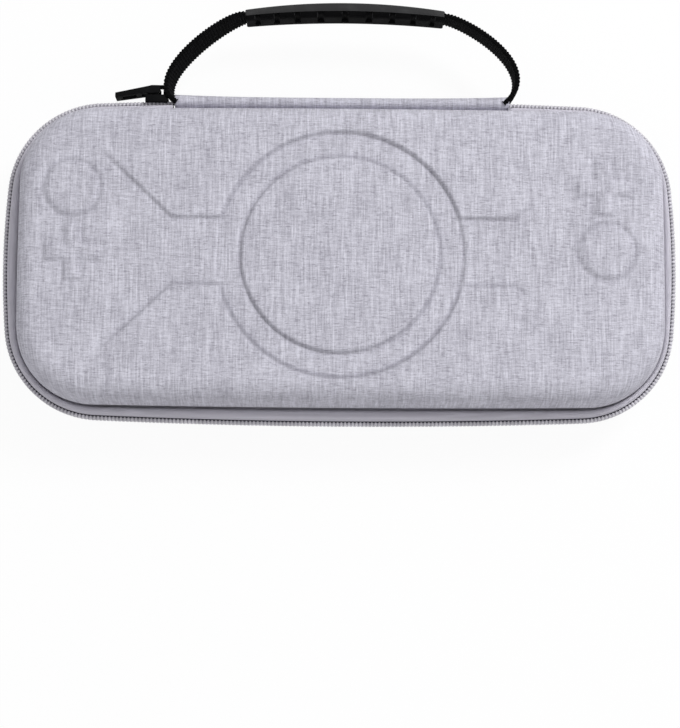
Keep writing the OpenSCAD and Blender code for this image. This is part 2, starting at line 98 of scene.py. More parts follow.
def srgb(red: int, green: int, blue: int) -> Colour:
    """Turns a colour as seen on a screen, 0 to 255, into the linear values that a shader takes."""
    parts = [c / 255 for c in (red, green, blue)]
    return tuple(c / 12.92 if c < 0.04045 else ((c + 0.055) / 1.055) ** 2.4 for c in parts)


def smooth(low: float, high: float, value: float) -> float:
    """A soft step from 0 at low to 1 at high."""
    t = min(max((value - low) / (high - low), 0.0), 1.0)
    return t * t * (3 - 2 * t)


class Paint:
    """A material and its node tree, with one method that adds any node."""

    def __init__(self, name: str) -> None:
        """Starts an empty material.

        Args:
            name: The material's name.
        """
        self.material = bpy.data.materials.new(name)
        self.material.use_nodes = True
        self.tree = self.material.node_tree
        self.tree.nodes.clear()

    def node(self, kind: str, settings: dict, inputs: dict, out: int | str = 0) -> "Flow":
        """Adds a node.

        Args:
            kind: The node's type without its ShaderNode prefix.
            settings: Its settings, set first.
            inputs: Values or flows by the sockets' names or numbers.
            out: The output that is returned.

        Returns:
            The chosen output.
        """
        made = self.tree.nodes.new("ShaderNode" + kind)
        for key, value in settings.items():
            setattr(made, key, value)
        for key, value in inputs.items():
            socket = made.inputs[key]
            if isinstance(value, Flow):
                self.tree.links.new(value.socket, socket)
            elif isinstance(value, tuple) and len(value) == 3 and len(socket.default_value) == 4:
                socket.default_value = (*value, 1)
            else:
                socket.default_value = value
        return Flow(self, made.outputs[out])

    def cloth_place(self) -> tuple["Flow", "Flow"]:
        """Reads the cloth map.

        Returns:
            The two lengths along the cloth at a point, in millimetres.
        """
        place = self.node("UVMap", {"uv_map": "cloth"}, {})
        split = self.node("SeparateXYZ", {}, {0: place})
        return split * 1000, Flow(self, split.socket.node.outputs[1]) * 1000

    def object_place(self) -> "Flow":
        """The place of a point in the frame, in millimetres."""
        place = self.node("TexCoord", {}, {}, "Object")
        return self.node("VectorMath", {"operation": "SCALE"}, {0: place, "Scale": 1000.0})

    def streaks(
        self, x: "Flow", y: "Flow", per_x: float, per_y: float, seed: float, detail: float = 1.0
    ) -> "Flow":
        """Noise with its own number of grains per millimetre each way.

        Args:
            x: Length across.
            y: Length along.
            per_x: Grains per millimetre of x.
            per_y: Grains per millimetre of y.
            seed: A shift that makes each noise its own.
            detail: Levels of finer noise.

        Returns:
            The noise, about 0.5 on average.
        """
        # The height in the noise is kept off its whole numbers, where it shows a regular grid.
        level = seed * 0.73 + 0.31
        place = self.node("CombineXYZ", {}, {0: x * per_x + seed, 1: y * per_y + seed, 2: level})
        settings = {"noise_dimensions": "3D"}
        return self.node("TexNoise", settings, {"Vector": place, "Scale": 1.0, "Detail": detail})

    def mix(self, factor: "Flow", low: "Flow | Colour", high: "Flow | Colour") -> "Flow":
        """Mixes two colours.

        Args:
            factor: 0 gives low and 1 gives high.
            low: A colour.
            high: A colour.

        Returns:
            The mixed colour.
        """
        return self.node("Mix", {"data_type": "RGBA"}, {"Factor": factor, 6: low, 7: high}, 2)

    def shades(self, factor: "Flow", base: Colour, low: float, high: float) -> "Flow":
        """Mixes two shades of one colour, given as shares of it."""
        return self.mix(factor, tuple(c * low for c in base), tuple(min(c * high, 1.0) for c in base))

    def bump(self, height: "Flow", depth: float) -> "Flow":
        """Turns a height from 0 to 1 into a bent normal, for a relief of depth metres."""
        return self.node("Bump", {}, {"Strength": 1.0, "Distance": depth, "Height": height})

    def finish(
        self, colour: "Flow | Colour", roughness: "Flow | float", normal: "Flow", **others: "Flow | float"
    ) -> bpy.types.Material:
        """Ends the material in a Principled shader.

        Args:
            colour: The base colour.
            roughness: The roughness.
            normal: The bent normal.
            **others: Values of other sockets, with underscores for spaces.

        Returns:
            The material.
        """
        sockets = {key.replace("_", " "): value for key, value in others.items()}
        sockets |= {"Base Color": colour, "Roughness": roughness, "Normal": normal}
        self.end(self.node("BsdfPrincipled", {}, sockets))
        return self.material

    def end(self, shader: "Flow") -> None:
        """Joins a shader to the material's output."""
        output = self.tree.nodes.new("ShaderNodeOutputMaterial")
        self.tree.links.new(shader.socket, output.inputs["Surface"])


class Flow:
    """A value in a node tree, so that shader maths reads as Python."""

    def __init__(self, paint: Paint, socket: bpy.types.NodeSocket) -> None:
        """Wraps a socket of a material."""
        self.paint = paint
        self.socket = socket

    def maths(self, operation: str, first: "Flow | float", second: "Flow | float" = 0.0) -> "Flow":
        """Adds one Math node."""
        return self.paint.node("Math", {"operation": operation}, {0: first, 1: second})

    def __add__(self, other: "Flow | float") -> "Flow":
        """Sum."""
        return self.maths("ADD", self, other)

    __radd__ = __add__

    def __mul__(self, other: "Flow | float") -> "Flow":
        """Product."""
        return self.maths("MULTIPLY", self, other)

    def __sub__(self, other: "Flow | float") -> "Flow":
        """Difference."""
        return self.maths("SUBTRACT", self, other)

    def __rsub__(self, other: "Flow | float") -> "Flow":
        """Difference from a number."""
        return self.maths("SUBTRACT", other, self)

    def wave(self) -> "Flow":
        """A sine of this value, from 0 to 1."""
        return self.maths("SINE", self) * 0.5 + 0.5

    def between(self, low: float, high: float) -> "Flow":
        """A soft step of this value, 0 at low and 1 at high."""
        sockets = {"Value": self, "From Min": low, "From Max": high}
        return self.paint.node("MapRange", {"interpolation_type": "SMOOTHSTEP"}, sockets)


@dataclass(frozen=True)
class MelangeCloth:
    """Two-tone linen-like cloth, with long pale and dark yarns and shorter ones across.

    A point attribute darkens the cloth along the relief's pressed lines: painted shade in the grooves, with
    a little of the pressed cloth's darker tone.
    """

    name: str
    pale: Colour
    dark: Colour
    lengthways: bool = True
    slot: str = "melange_cloth"
    press: float = 0.3
    painted_shade_share: float = 0.45
    roughness: float = 0.92
    depth: float = 0.0002

    def build(self) -> bpy.types.Material:
        """Makes the material.

        Returns:
            The material.
        """
        paint = Paint(self.name)
        x, y = paint.cloth_place()
        if not self.lengthways:
            x, y = y, x
        warp = paint.streaks(x, y, 1.5, 0.1, 3.0, 2.0)
        weft = paint.streaks(x, y, 0.2, 1.8, 17.0, 2.0)
        grain = paint.streaks(x, y, 2.1, 1.9, 29.0)
        fleck = paint.streaks(x, y, 0.4, 1.7, 41.0).between(0.6, 0.7)
        slub = paint.streaks(x, y, 1.1, 0.06, 71.0).between(0.56, 0.7)
        haze = paint.streaks(x, y, 0.07, 0.05, 87.0)
        tone = 0.52 + (warp - 0.5) * 1.3 + (weft - 0.5) * 1.15 + (grain - 0.5) * 0.7 + (haze - 0.5) * 0.35
        tone = tone + slub * 0.2 - fleck * 0.4
        colour = paint.mix(tone, self.dark, self.pale)
        # Painted shade along the pressed grooves, with a little of the pressed cloth's darker tone.
        line = paint.node("Attribute", {"attribute_name": "pressed"}, {}, "Fac")
        colour = paint.mix(line * self.press, colour, tuple(c * self.painted_shade_share for c in self.dark))
        normal = paint.bump(warp + weft, self.depth)
        return paint.finish(colour, self.roughness, normal, Specular_IOR_Level=0.2, Sheen_Weight=0.12)


@dataclass(frozen=True)
class PlainCloth:
    """One-tone woven cloth, tape or felt, with a fine rib."""

    name: str
    base: Colour
    slot: str
    rib_mm: float = 0.6
    depth: float = 0.0002
    roughness: float = 0.9
    spread: float = 0.18
    specular: float = 0.2
    sheen: float = 0.08

    def build(self) -> bpy.types.Material:
        """Makes the material.

        Returns:
            The material.
        """
        paint = Paint(self.name)
        x, y = paint.cloth_place()
        grain = paint.streaks(x, y, 1.2, 1.2, 5.0, 2.0)
        turn = 2 * math.pi / self.rib_mm
        ribs = (x * turn).wave() * 0.6 + (y * turn).wave() * 0.4
        colour = paint.shades(grain * 0.7 + ribs * 0.3, self.base, 1 - self.spread, 1 + self.spread)
        normal = paint.bump(ribs + grain, self.depth)
        return paint.finish(
            colour, self.roughness, normal, Specular_IOR_Level=self.specular, Sheen_Weight=self.sheen
        )


@dataclass(frozen=True)
class OpenMesh:
    """Knitted mesh with holes that the lining shows through."""

    name: str
    base: Colour
    slot: str
    pitch_mm: float = 2.2

    def build(self) -> bpy.types.Material:
        """Makes the material.

        Returns:
            The material.
        """
        paint = Paint(self.name)
        x, y = paint.cloth_place()
        turn = 2 * math.pi / self.pitch_mm
        yarn = 1 - ((x * turn).wave() * (y * turn).wave()).between(0.3, 0.42)
        grain = paint.streaks(x, y, 2.0, 2.0, 5.0)
        colour = paint.shades(grain, self.base, 0.7, 1.4)
        return paint.finish(colour, 0.8, paint.bump(yarn, 0.0003), Alpha=yarn)


@dataclass(frozen=True)
class Moulded:
    """Moulded plastic, rubber or painted metal with a fine grain and rubbed high spots."""

    name: str
    base: Colour
    slot: str
    roughness: float = 0.5
    specular: float = 0.5
    grain_per_mm: float = 2.5
    depth: float = 0.00006

    def build(self) -> bpy.types.Material:
        """Makes the material.

        Returns:
            The material.
        """
        paint = Paint(self.name)
        place = paint.object_place()
        grain = paint.node("TexNoise", {}, {"Vector": place, "Scale": self.grain_per_mm, "Detail": 3.0})
        wear = paint.node("TexNoise", {}, {"Vector": place, "Scale": 0.12, "Detail": 2.0})
        wear = wear.between(0.45, 0.7)
        colour = paint.shades(grain * 0.5 + wear * 0.5, self.base, 0.8, 1.25)
        rough = self.roughness + (grain - 0.5) * 0.2 - wear * 0.06
        return paint.finish(colour, rough, paint.bump(grain, self.depth), Specular_IOR_Level=self.specular)


FINISHES = {
    "cover": MelangeCloth("Melange cloth", srgb(211, 210, 221), srgb(154, 152, 163)),
    "cover_back": MelangeCloth("Melange cloth across", srgb(208, 208, 218), srgb(160, 159, 170), False),
    "tape": PlainCloth("Zip tape", srgb(212, 209, 220), "zip_tape", 0.5, 0.00012),
    "coil": Moulded("Zip coil", srgb(206, 204, 210), "zip_teeth", 0.45, 0.3),
    # The core is painted dark, as the shade in the gap between the tape and the coil's heads.
    "core": PlainCloth("Zip core painted as gap shade", srgb(70, 68, 78), "zip_tape", 0.5, 0.0001),
    "cord": PlainCloth("Zip cord", srgb(172, 169, 178), "zip_tape", 0.5, 0.0001),
    "lining": PlainCloth("Brushed lining", srgb(84, 84, 90), "lining", 1.1, 0.0002, 1.0),
    "webbing": PlainCloth("Ribbed webbing", srgb(12, 12, 13), "webbing", 0.78, 0.0002, 0.9, 0.4, 0.06, 0.0),
    "elastic": PlainCloth("Ribbed elastic", srgb(36, 36, 39), "elastic", 1.2, 0.0003, 0.85, 0.3),
    "fleece": PlainCloth("Hook and loop pad", srgb(30, 30, 32), "hook_and_loop", 0.8, 0.0006, 1.0, 0.5),
    "pocket": PlainCloth("Pocket cloth", srgb(46, 46, 50), "card_pocket", 0.5, 0.0001, 0.7, 0.2),
    "mesh": OpenMesh("Open mesh", srgb(58, 58, 62), "mesh"),
    # The seam strip is painted darker than the tape, as the shade in the crease under the cover's foot.
    "seam": PlainCloth("Seam painted as crease shade", srgb(140, 137, 148), "zip_tape", 0.5, 0.0001),
    "grip": Moulded("Grip rubber", srgb(50, 50, 51), "grip_rubber", 0.6, 0.08),
    # The grip's underside, painted near black as shade.
    "grip_underside_shade": Moulded("Grip underside painted as shade", srgb(12, 12, 13), "grip_rubber", 0.75, 0.03),
    "puller": Moulded("Puller rubber", srgb(17, 17, 18), "grip_rubber", 0.7, 0.05),
    "slider": Moulded("Painted casting", srgb(15, 15, 16), "slider_metal", 0.6, 0.05),
}
MATERIALS: dict[str, bpy.types.Material] = {}


def material(key: str) -> bpy.types.Material:
    """Gives the material of a finish, made once.

    Args:
        key: A key of FINISHES.

    Returns:
        The material.
    """
    if key not in MATERIALS:
        MATERIALS[key] = FINISHES[key].build()
    return MATERIALS[key]


def unroll(mesh: bpy.types.Mesh, place: Callable[[Vector], Point2]) -> None:
    """Writes the cloth map of a mesh.

    Args:
        mesh: The mesh.
        place: Gives the two lengths along the cloth at a point.
    """
    layer = mesh.uv_layers.new(name="cloth")
    spots = [place(v.co) for v in mesh.vertices]
    for loop in mesh.loops:
        layer.data[loop.index].uv = spots[loop.vertex_index]


def rolled(
    along: int,
    around: int,
    place: Callable[[int, int], Vector],
    cloth: Callable[[int, int], Point2] | None = None,
) -> bmesh.types.BMesh:
    """Rolls a grid into a tube, joins its seam and closes its ends.

    Args:
        along: Steps along the tube.
        around: Steps round its section.
        place: Gives the place of a grid point from its two step numbers.
        cloth: Gives the two lengths along the cloth there, where the finish follows them.

    Returns:
        The closed shape.
    """
    bm = bmesh.new()
    bmesh.ops.create_grid(bm, x_segments=along, y_segments=around, size=1)
    cloth_map = bm.loops.layers.uv.new("cloth") if cloth else None
    steps = {
        v: (round((v.co.x + 1) / 2 * along), round((v.co.y + 1) / 2 * around)) for v in bm.verts
    }
    if cloth:
        for corner in (corner for face in bm.faces for corner in face.loops):
            corner[cloth_map].uv = cloth(*steps[corner.vert])
    for v, (i, j) in steps.items():
        v.co = place(i, j)
    bmesh.ops.remove_doubles(bm, verts=bm.verts, dist=1e-6)
    bmesh.ops.holes_fill(bm, edges=[e for e in bm.edges if e.is_boundary])
    bmesh.ops.recalc_face_normals(bm, faces=bm.faces)
    return bm


def piece(
    bm: bmesh.types.BMesh,
    name: str,
    finish: str,
    body: Body | None,
    replaces: Sequence[str] = (),
    cloth: Callable[[Vector], Point2] = lambda p: (p.x, p.y),
) -> bpy.types.Object:
    """Turns a finished bmesh into a dressed object.

    Args:
        bm: The shape; it is freed.
        name: The piece's name.
        finish: A key of FINISHES.
        body: The body that it rides on, or None where it is attached afterwards or rides on none.
        replaces: The nodes that it stands for.
        cloth: Gives the cloth map of a shape that has none yet.

    Returns:
        The object.
    """
    mesh = bpy.data.meshes.new(name)
    bm.to_mesh(mesh)
    bm.free()
    mesh.shade_smooth()
    made = bpy.data.objects.new(name, mesh)
    bpy.context.scene.collection.objects.link(made)
    mesh.materials.append(material(finish))
    if not mesh.uv_layers:
        unroll(mesh, cloth)
    if replaces:
        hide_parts(*replaces)
    if body is not None:
        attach(made, body.value)
    log.info("%s: %d faces", name, len(mesh.polygons))
    return made


@dataclass
class Outline:
    """A plan of the case: long and short sides that bow a little, and round corners tangent to both."""

    half_l: float
    half_w: float
    corner_r: float
    side_bow: float
    long_bow: float
    mid_y: float
    zip_z: float
    mid_x: float = 0.0

    def __post_init__(self) -> None:
        """Works out the three arcs of a quarter of the outline."""
        self.corner_x = self.half_l - self.side_bow - self.corner_r
        self.corner_y = self.half_w - self.long_bow - self.corner_r
        self.side_r = self.corner_r + (self.corner_y**2 + self.side_bow**2) / (2 * self.side_bow)
        self.long_r = self.corner_r + (self.corner_x**2 + self.long_bow**2) / (2 * self.long_bow)
        self.side_a = math.atan2(self.corner_y, self.side_r - self.corner_r - self.side_bow)
        self.long_a = math.atan2(self.corner_x, self.long_r - self.corner_r - self.long_bow)
        self.side_len = self.side_r * self.side_a
        self.corner_len = self.corner_r * (math.pi / 2 - self.side_a - self.long_a)
        self.long_len = self.long_r * self.long_a
        self.quarter = self.side_len + self.corner_len + self.long_len

    def at(self, s: float) -> tuple[float, float, float, float]:
        """The place and the outward direction at a length round the outline.

        Args:
            s: Length from the middle of the right side, anticlockwise.

        Returns:
            x and y of the point, then x and y of the direction, about the outline's middle.
        """
        u = s % (4 * self.quarter)
        q, v = int(u // self.quarter), u % self.quarter
        if q in (1, 3):
            v = self.quarter - v
        if v < self.side_len:
            a = v / self.side_r
            nx, ny = math.cos(a), math.sin(a)
            x, y = self.half_l - self.side_r * (1 - nx), self.side_r * ny
        elif v < self.side_len + self.corner_len:
            a = self.side_a + (v - self.side_len) / self.corner_r
            nx, ny = math.cos(a), math.sin(a)
            x, y = self.corner_x + self.corner_r * nx, self.corner_y + self.corner_r * ny
        else:
            a = (self.quarter - v) / self.long_r
            nx, ny = math.sin(a), math.cos(a)
            x, y = self.long_r * nx, self.half_w - self.long_r * (1 - ny)
        sx, sy = (1, -1, -1, 1)[q], (1, 1, -1, -1)[q]
        return x * sx, y * sy, nx * sx, ny * sy

    def place(self, s: float, out: float, z: float) -> Vector:
        """A point at a length round the outline, a distance out of it and a height over the zip line."""
        x, y, nx, ny = self.at(s)
        return Vector((x + nx * out + self.mid_x, y + ny * out + self.mid_y, z + self.zip_z))

    def depth(self, x: float, y: float) -> tuple[float, float, float]:
        """How far inside the outline a point lies, with the outward direction there.

        Args:
            x: Place along the case.
            y: Place across it, about the outline's middle.

        Returns:
            The distance inwards, then x and y of the outward direction.
        """
        ax, ay = abs(x), abs(y)
        sx, sy = math.copysign(1, x), math.copysign(1, y)
        dx, dy = ax - self.corner_x, ay - self.corner_y
        turn = math.atan2(dy, dx)
        if dx > 0 and dy > 0 and self.side_a < turn < math.pi / 2 - self.long_a:
            far = math.hypot(dx, dy)
            return self.corner_r - far, dx / far * sx, dy / far * sy
        bx, by = ax - self.half_l + self.side_r, ay - self.half_w + self.long_r
        side, long = self.side_r - math.hypot(bx, ay), self.long_r - math.hypot(ax, by)
        if side < long:
            return side, bx / math.hypot(bx, ay) * sx, ay / math.hypot(bx, ay) * sy
        return long, ax / math.hypot(ax, by) * sx, by / math.hypot(ax, by) * sy


TEETH_LOW, TEETH_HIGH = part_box("front_zip_teeth")
MID_Y = (TEETH_LOW[1] + TEETH_HIGH[1]) / 2
ZIP_Z = TEETH_LOW[2] - 0.2 * MM
TEETH = Outline(150 * MM, 73.6 * MM, 42.6 * MM, 1.35 * MM, 2.04 * MM, MID_Y, ZIP_Z)
CREASE = Outline(143.3 * MM, 66.8 * MM, 34.8 * MM, 0.3 * MM, 0.75 * MM, MID_Y + 0.3 * MM, ZIP_Z, 0.6 * MM)


def crease_room(s: float) -> float:
    """Distance from the teeth in to the crease at a length round the zip."""
    x, y, _, _ = TEETH.at(s)
    return -CREASE.depth(x - CREASE.mid_x, y + TEETH.mid_y - CREASE.mid_y)[0]


@dataclass
class Profile:
    """Section of a cover from its flat face over the edge to the crease at its foot."""

    crease_h: float = 8 * MM
    lean: float = math.radians(8)
    arc_steps: int = 8
    wall_steps: int = 5
    # Steps in and down, under the wall's foot.
    foot: tuple[Point2, ...] = ((0.25 * MM, 0.55 * MM), (0.9 * MM, 0.8 * MM))

    @property
    def row_count(self) -> int:
        """How many points the section has."""
        return self.arc_steps + 1 + self.wall_steps + len(self.foot)

    def wall_out(self, z: float, inset: float = 0.0) -> float:
        """How far out of the crease the wall is at a height over the zip line."""
        return -inset / math.cos(self.lean) - (z - self.crease_h) * math.tan(self.lean)

    def rows(self, top: float, r: float, inset: float = 0.0) -> list[Point2]:
        """The section from the face's edge down to the foot.

        Args:
            top: Height of the face over the zip line.
            r: Radius of the edge.
            inset: How far inside the outer surface this one lies.

        Returns:
            Pairs of the distance out of the crease and the height.
        """
        arc_z = top - r
        arc_x = self.wall_out(arc_z, inset) - r / math.cos(self.lean)
        rows = []
        for k in range(self.arc_steps + 1):
            a = math.pi / 2 - (math.pi / 2 - self.lean) * k / self.arc_steps
            rows.append((arc_x + r * math.cos(a), arc_z + r * math.sin(a)))
        low_z = rows[-1][1]
        for k in range(1, self.wall_steps + 1):
            z = low_z + (self.crease_h - low_z) * k / self.wall_steps
            rows.append((self.wall_out(z, inset), z))
        foot_out, foot_z = rows[-1]
        return rows + [(foot_out - step_in, foot_z - down) for step_in, down in self.foot]


@dataclass
class Cover:
    """A moulded cover: a face made as one grid, whose rim is extruded over the edge and down the wall."""

    side: Side
    height: Callable[[float, float], float]
    edge_r: Callable[[float], float]
    columns: Sequence[float]
    row_count: int
    face_in: float = 12.3 * MM
    inset: float = 0.0
    lip: float = 2.6 * MM
    end_share: float = 0.16
    cloth_drop: float = 0.8
    pressed: Callable[[float, float], float] | None = None
    profile: Profile = field(default_factory=Profile)

    def inner(self, p: Sequence[float]) -> Vector:
        """The point of the face's edge that lies inside a point of the outline."""
        return Vector((p[0] - p[2] * self.face_in, p[1] - p[3] * self.face_in))

    def face(self) -> bmesh.types.BMesh:
        """Lays the face as one grid, bent to the outline at both ends.

        The vertices of its rim keep the outline's point and its outward direction there, in the
        layers "base" and "way".

        Returns:
            The face, with heights over the zip line.
        """
        bm = bmesh.new()
        nx, ny = len(self.columns) - 1, self.row_count
        base = bm.verts.layers.float_vector.new("base")
        way = bm.verts.layers.float_vector.new("way")
        bmesh.ops.create_grid(bm, x_segments=nx, y_segments=ny, size=1)
        cut = [CREASE.at(CREASE.quarter - c) for c in self.columns]
        corner_s = CREASE.quarter - self.columns[-1]
        ends = [CREASE.at(corner_s * (2 * j / ny - 1)) for j in range(ny + 1)]
        for v in bm.verts:
            i, j = round((v.co.x + 1) / 2 * nx), round((v.co.y + 1) / 2 * ny)
            share, rise = i / nx, j / ny
            top = self.inner(cut[i])
            spot = Vector((top.x, -top.y)).lerp(top, rise)
            for near, flip, corner in ((share, -1, cut[0]), (1 - share, 1, cut[nx])):
                weight = max(0.0, 1 - near / self.end_share) ** 2
                if weight:
                    side = self.inner(ends[j])
                    side.x *= flip
                    top = self.inner(corner)
                    line = Vector((top.x, -top.y)).lerp(top, rise)
                    spot += weight * (side - line)
            v.co = (spot.x, spot.y, self.height(spot.x, spot.y))
            if j in (0, ny):
                (x, y, out_x, out_y), flip_x, flip_y = cut[i], 1, 1 if j else -1
            elif i in (0, nx):
                (x, y, out_x, out_y), flip_x, flip_y = ends[j], 1 if i else -1, 1
            else:
                continue
            v[base] = (x * flip_x, y * flip_y, 0)
            v[way] = (out_x * flip_x, out_y * flip_y, 0)
        return bm

    def carry_rim(self, bm: bmesh.types.BMesh) -> None:
        """Carries the face's rim over the edge, down the wall to the foot and in along the lip.

        Args:
            bm: The face, with its layers "base" and "way".
        """
        base, way = (bm.verts.layers.float_vector[key] for key in ("base", "way"))
        rim = [e for e in bm.edges if e.is_boundary]
        for k in range(self.profile.row_count + 1):
            made = bmesh.ops.extrude_edge_only(bm, edges=rim)["geom"]
            rim = [g for g in made if isinstance(g, bmesh.types.BMEdge)]
            for v in (g for g in made if isinstance(g, bmesh.types.BMVert)):
                b, w = v[base], v[way]
                top = self.height(b.x - w.x * self.face_in, b.y - w.y * self.face_in)
                rows = self.profile.rows(top, self.edge_r(b.x), self.inset)
                rows.append((rows[-1][0] - self.lip, rows[-1][1] - 0.1 * MM))
                out, z = rows[k]
                v.co = (b.x + w.x * out, b.y + w.y * out, z)

    def mesh(self) -> bmesh.types.BMesh:
        """Makes the cover's surface.

        Returns:
            The shape, whose faces look away from the foam: outwards, or inwards on a lining.
        """
        bm = self.face()
        self.carry_rim(bm)
        for v in bm.verts:
            v.co = (v.co.x + CREASE.mid_x, v.co.y + CREASE.mid_y, CREASE.zip_z + self.side.value * v.co.z)
        bmesh.ops.recalc_face_normals(bm, faces=bm.faces)
        centre = Vector((0, CREASE.mid_y, 0))
        middle = min(bm.faces, key=lambda f: (f.calc_center_median() - centre).xy.length)
        outward = 1 if self.inset == 0 else -1
        if middle.normal.z * self.side.value * outward < 0:
            bmesh.ops.reverse_faces(bm, faces=bm.faces)
        return bm

    def cloth_place(self, p: Vector) -> Point2:
        """Unrolls the wall about the face, so that the cloth runs over the edge without stretching.

        Args:
            p: A point of the cover.

        Returns:
            The two lengths along the cloth there.
        """
        x, y = p.x - CREASE.mid_x, p.y - CREASE.mid_y
        deep, nx, ny = CREASE.depth(x, y)
        if deep > self.face_in + 1 * MM:
            return x, y
        top = self.height(x, y)
        drop = max(0.0, top - self.side.value * (p.z - CREASE.zip_z)) * self.cloth_drop
        return x + nx * drop, y + ny * drop

    def build(self, name: str, finish: str, replaces: Sequence[str] = ()) -> bpy.types.Object:
        """Makes and dresses the cover.

        Args:
            name: The piece's name.
            finish: A key of FINISHES.
            replaces: The nodes that it stands for.

        Returns:
            The object.
        """
        made = piece(self.mesh(), name, finish, None, replaces, self.cloth_place)
        if self.pressed:
            # The layer holds the share of painted shade along the relief's pressed lines.
            layer = made.data.attributes.new("pressed", "FLOAT", "POINT")
            for v, share in zip(made.data.vertices, layer.data):
                x, y = v.co.x - CREASE.mid_x, v.co.y - CREASE.mid_y
                share.value = self.pressed(x, y) if CREASE.depth(x, y)[0] > self.face_in else 0.0
        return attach(made, self.side.body.value)


@dataclass
class Relief:
    """The pressed relief of the front face: a ring channel, two hourglass fields and four buttons."""

    top: float = 26 * MM
    mid: Point2 = (-0.6 * MM, -1.4 * MM)
    disc_r: float = 43.0 * MM
    channel_w: float = 11.7 * MM
    channel_d: float = 1.35 * MM
    field_d: float = 0.9 * MM
    field_y: float = 1.1 * MM
    waist: float = 15.1 * MM
    waist_l: tuple[float, float] = (73.4 * MM, 76.2 * MM)
    flare: float = 0.95
    fade: tuple[float, float] = (106 * MM, 85 * MM)
    soft: float = 0.65 * MM
    groove_d: float = 0.72 * MM
    groove_w: float = 0.8 * MM
    ring_line_in: float = 0.6 * MM
    field_line_in: float = 0.4 * MM
    button_x: float = 116.4 * MM
    button_shift: tuple[float, float] = (-0.6 * MM, -1.2 * MM)
    discs_y: tuple[float, float] = (28.7 * MM, 1.9 * MM)
    crosses_y: tuple[float, float] = (0.4 * MM, 30.2 * MM)
    button_r: float = 11.9 * MM
    cross_span: float = 24.5 * MM
    cross_w: float = 7.4 * MM
    button_h: float = 1.1 * MM

    def groove(self, gap: float) -> float:
        """Share of the narrow pressed line that follows an edge, at a distance from it."""
        return math.exp(-((gap / self.groove_w) ** 2))

    def field_gap(self, x: float, y: float) -> tuple[float, float]:
        """Where a point lies by the hourglass fields.

        Args:
            x: Place along the case, about the ring's middle.
            y: Place across it.

        Returns:
            The distance inside the fields' edge, and how strong the edge is there.
        """
        right = x > 0
        ax, ay = abs(x), abs(y - self.field_y)
        edge = self.waist + self.flare * max(0.0, ax - self.waist_l[right])
        slant = 1.0 if ax < self.waist_l[right] else 1 / math.hypot(1, self.flare)
        reach = self.fade[right]
        return (edge - ay) * slant, 1 - smooth(reach - 14 * MM, reach + 4 * MM, ax)

    def button_gap(self, x: float, y: float) -> tuple[float, float]:
        """Where a point lies by the two buttons on its own side.

        Args:
            x: Place along the case, about the ring's middle.
            y: Place across it.

        Returns:
            The distances inside the edge of the round button and of the cross.
        """
        right = x > 0
        dx = x - math.copysign(self.button_x, x)
        disc_x, cross_x = (0, self.button_shift[1]) if right else (self.button_shift[0], 0)
        disc = self.button_r - math.hypot(dx - disc_x, y - self.discs_y[right])
        ax, ay = abs(dx - cross_x), abs(y - self.crosses_y[right])
        long, short = max(ax, ay), min(ax, ay)
        arm = min(self.cross_span / 2 - long, self.cross_w / 2 - short)
        return disc, arm

    def parts(self, x: float, y: float) -> tuple[float, float, float]:
        """How the face is formed at a point.

        Args:
            x: Place along the case.
            y: Place across it.

        Returns:
            How far it is pressed in, the share of a pressed line, and how far it rises.
        """
        x, y = x - self.mid[0], y - self.mid[1]
        far = math.hypot(x, y)
        ring_in, ring_out = far - self.disc_r, self.disc_r + self.channel_w - far
        soft = self.soft
        press = self.channel_d * smooth(-soft, soft, ring_in) * smooth(-soft, soft, ring_out)
        # The ring's outer line is stronger at its lower side, as a deeper groove and darker painted shade,
        # and open inside the left field.
        line = self.groove(ring_out - self.ring_line_in) * (1 + 0.4 * smooth(10 * MM, 40 * MM, -y))
        if ring_out < 3 * MM:
            gap, strength = self.field_gap(x, y)
            line *= 1 - smooth(-1 * MM, 1 * MM, gap) if x < 0 else 1
            clear = 1 - smooth(0, 3 * MM, ring_out)
            press = max(press, self.field_d * smooth(-soft, soft, gap) * clear * strength)
            clear = 1 - smooth(1 * MM, 3 * MM, ring_out)
            line = max(line, 0.9 * self.groove(gap - self.field_line_in) * strength * clear)
        line = max(line, self.groove(ring_in - self.ring_line_in))
        disc, arm = self.button_gap(x, y)
        rise = max(smooth(-0.6 * MM, 2.2 * MM, disc), smooth(-1.2 * MM, 2.4 * MM, arm))
        line = max(line, 0.8 * self.groove(disc + 0.8 * MM), 0.5 * self.groove(arm + 0.5 * MM))
        return press, line, self.button_h * rise

    def height(self, x: float, y: float) -> float:
        """Height of the front face over the zip line."""
        press, line, rise = self.parts(x, y)
        return self.top - press - self.groove_d * line + rise

    def pressed(self, x: float, y: float) -> float:
        """Share of painted shade along a pressed line at a point of the face."""
        return self.parts(x, y)[1]


@dataclass
class GripZones:
    """The back face: two deep grip zones with a set-in panel between them."""

    deep: float = 28 * MM
    set_in: float = 8 * MM
    panel_l: float = 96 * MM
    step_r: float = 6 * MM

    def height(self, x: float, y: float) -> float:
        """Forms the back face.

        Args:
            x: Place along the case.
            y: Place across it.

        Returns:
            The depth of the face under the zip line.
        """
        past = abs(x) - self.panel_l
        if past <= 0:
            return self.deep - self.set_in
        if past >= self.step_r:
            return self.deep
        r = self.step_r
        curve = self.deep - r + math.sqrt(r * r - (r - past) ** 2)
        foot = self.deep - self.set_in
        return foot + (curve - foot) * smooth(0, 0.6 * MM, past)


def spread(stops: Sequence[tuple[float, float]]) -> list[float]:
    """Column places from the middle outwards, mirrored.

    Args:
        stops: Pairs of a distance from the middle and the step used up to there.

    Returns:
        The places, lowest first.
    """
    places, here = [0.0], 0.0
    for end, step in stops:
        count = max(1, round((end - here) / step))
        places += [here + (end - here) * k / count for k in range(1, count + 1)]
        here = end
    return [-p for p in reversed(places[1:])] + places


